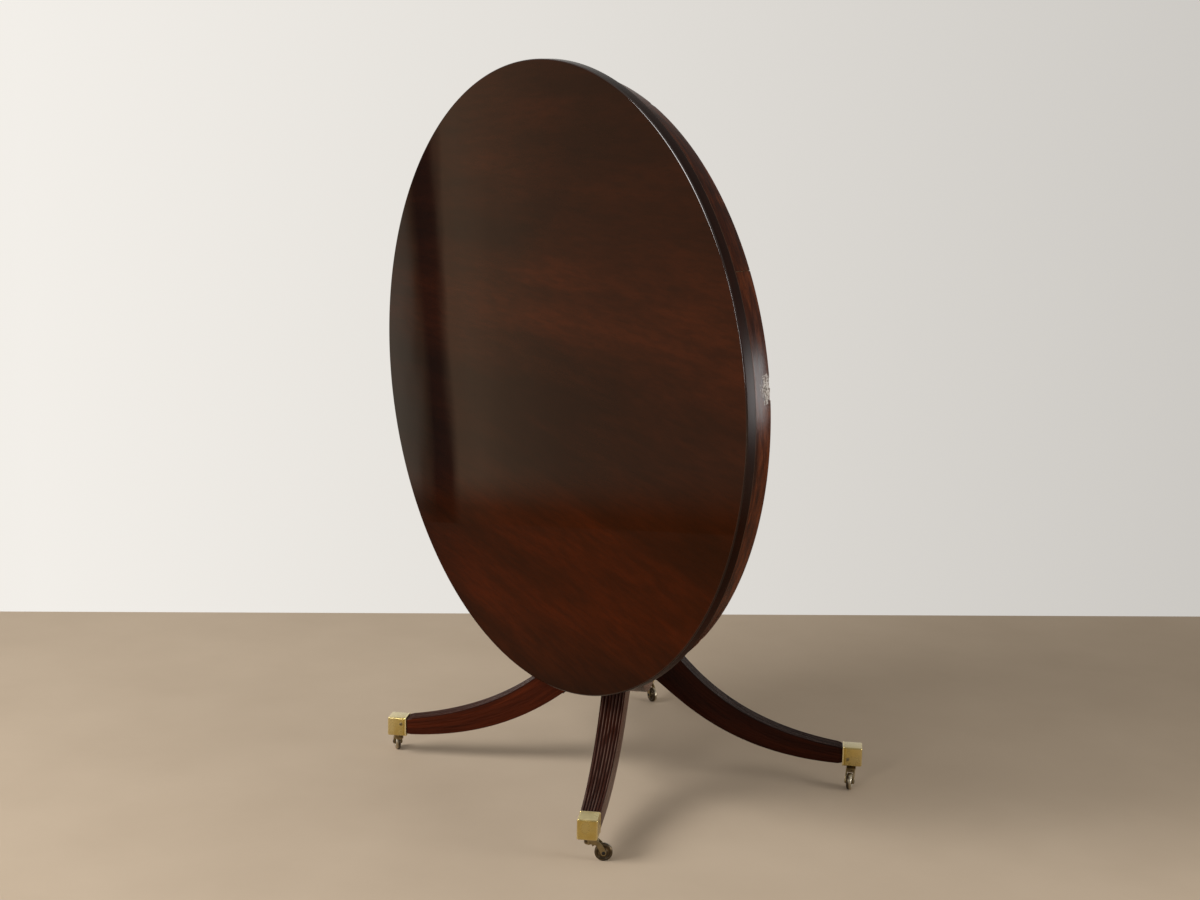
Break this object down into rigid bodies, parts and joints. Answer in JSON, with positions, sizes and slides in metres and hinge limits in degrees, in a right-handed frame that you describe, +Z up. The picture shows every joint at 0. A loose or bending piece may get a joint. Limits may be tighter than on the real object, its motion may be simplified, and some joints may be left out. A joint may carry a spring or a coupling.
{
  "type": "breakfast table",
  "caption": "Round tilt-top breakfast table on a turned pillar with reeded sabre legs, brass box caps and castors, its top tipped up; the top tilts and the castors swivel and roll.",
  "frame": {"origin": "on the floor, on the axis of the pillar", "axes": "+Z up; the polished face of the tipped top looks along -Y; X runs along the hinge line of the top"},
  "size_m": [1.22, 0.7416, 1.431],
  "materials": {
    "top_veneer": "French polished mahogany",
    "dark_mahogany": "waxed dark mahogany",
    "pine": "bare pine",
    "polished_brass": "polished",
    "old_brass": "tarnished",
    "iron": "blackened",
    "steel": "dull"
  },
  "bodies": {
    "pedestal": {"tilt_block": "dark_mahogany", "pillar": "dark_mahogany", "tenon_wedge": "pine", "escutcheon_left": "polished_brass", "escutcheon_right": "polished_brass", "escutcheon_screws": "steel", "leg_front": "dark_mahogany", "leg_right": "dark_mahogany", "leg_back": "dark_mahogany", "leg_left": "dark_mahogany", "leg_plate": "iron", "leg_plate_screws": "steel", "cap_front": "polished_brass", "cap_right": "polished_brass", "cap_back": "polished_brass", "cap_left": "polished_brass", "cap_screws": "old_brass"},
    "top": {"top_board": "top_veneer", "frieze_bricks": "pine", "frieze_veneer": "top_veneer", "glue_blocks": "pine", "bearer_left": "dark_mahogany", "bearer_right": "dark_mahogany", "bearer_screws": "steel", "pivot_pin_left": "steel", "pivot_pin_right": "steel", "catch_plate_left": "polished_brass", "catch_plate_right": "polished_brass", "catch_plate_screws": "steel"},
    "screw_left": {"thumbscrew_left": "polished_brass"},
    "screw_right": {"thumbscrew_right": "polished_brass"},
    "castor_front": {"castor_fork_front": "old_brass", "castor_axle_front": "iron"},
    "wheel_front": {"castor_wheel_front": "old_brass"},
    "castor_right": {"castor_fork_right": "old_brass", "castor_axle_right": "iron"},
    "wheel_right": {"castor_wheel_right": "old_brass"},
    "castor_back": {"castor_fork_back": "old_brass", "castor_axle_back": "iron"},
    "wheel_back": {"castor_wheel_back": "old_brass"},
    "castor_left": {"castor_fork_left": "old_brass", "castor_axle_left": "iron"},
    "wheel_left": {"castor_wheel_left": "old_brass"}
  },
  "joints": [
    {"name": "top_tilt", "type": "hinge", "parent": "pedestal", "child": "top", "pos_m": [0, -0.155, 0.6681], "axis": [-1, 0, 0], "range_deg": [0, 92.45]},
    {"name": "thumbscrew_left_lift", "type": "slide", "parent": "pedestal", "child": "screw_left", "axis": [0, 0, 1], "range_m": [0, 0.014]},
    {"name": "thumbscrew_right_lift", "type": "slide", "parent": "pedestal", "child": "screw_right", "axis": [0, 0, 1], "range_m": [0, 0.014]},
    {"name": "castor_front_swivel", "type": "hinge", "parent": "pedestal", "child": "castor_front", "pos_m": [0.34421, -0.32551, 0.0445], "axis": [0, 0, 1], "continuous": true},
    {"name": "castor_front_roll", "type": "hinge", "parent": "castor_front", "child": "wheel_front", "pos_m": [0.36087, -0.303, 0.0165], "axis": [-0.8039, 0.5948, 0], "continuous": true},
    {"name": "castor_right_swivel", "type": "hinge", "parent": "pedestal", "child": "castor_right", "pos_m": [0.32551, 0.34421, 0.0445], "axis": [0, 0, 1], "continuous": true},
    {"name": "castor_right_roll", "type": "hinge", "parent": "castor_right", "child": "wheel_right", "pos_m": [0.34332, 0.32261, 0.0165], "axis": [0.7716, 0.6361, 0], "continuous": true},
    {"name": "castor_back_swivel", "type": "hinge", "parent": "pedestal", "child": "castor_back", "pos_m": [-0.34421, 0.32551, 0.0445], "axis": [0, 0, 1], "continuous": true},
    {"name": "castor_back_roll", "type": "hinge", "parent": "castor_back", "child": "wheel_back", "pos_m": [-0.31652, 0.32137, 0.0165], "axis": [0.1478, 0.989, 0], "continuous": true},
    {"name": "castor_left_swivel", "type": "hinge", "parent": "pedestal", "child": "castor_left", "pos_m": [-0.32551, -0.34421, 0.0445], "axis": [0, 0, 1], "continuous": true},
    {"name": "castor_left_roll", "type": "hinge", "parent": "castor_left", "child": "wheel_left", "pos_m": [-0.35128, -0.33327, 0.0165], "axis": [-0.3907, -0.9205, 0], "continuous": true}
  ]
}
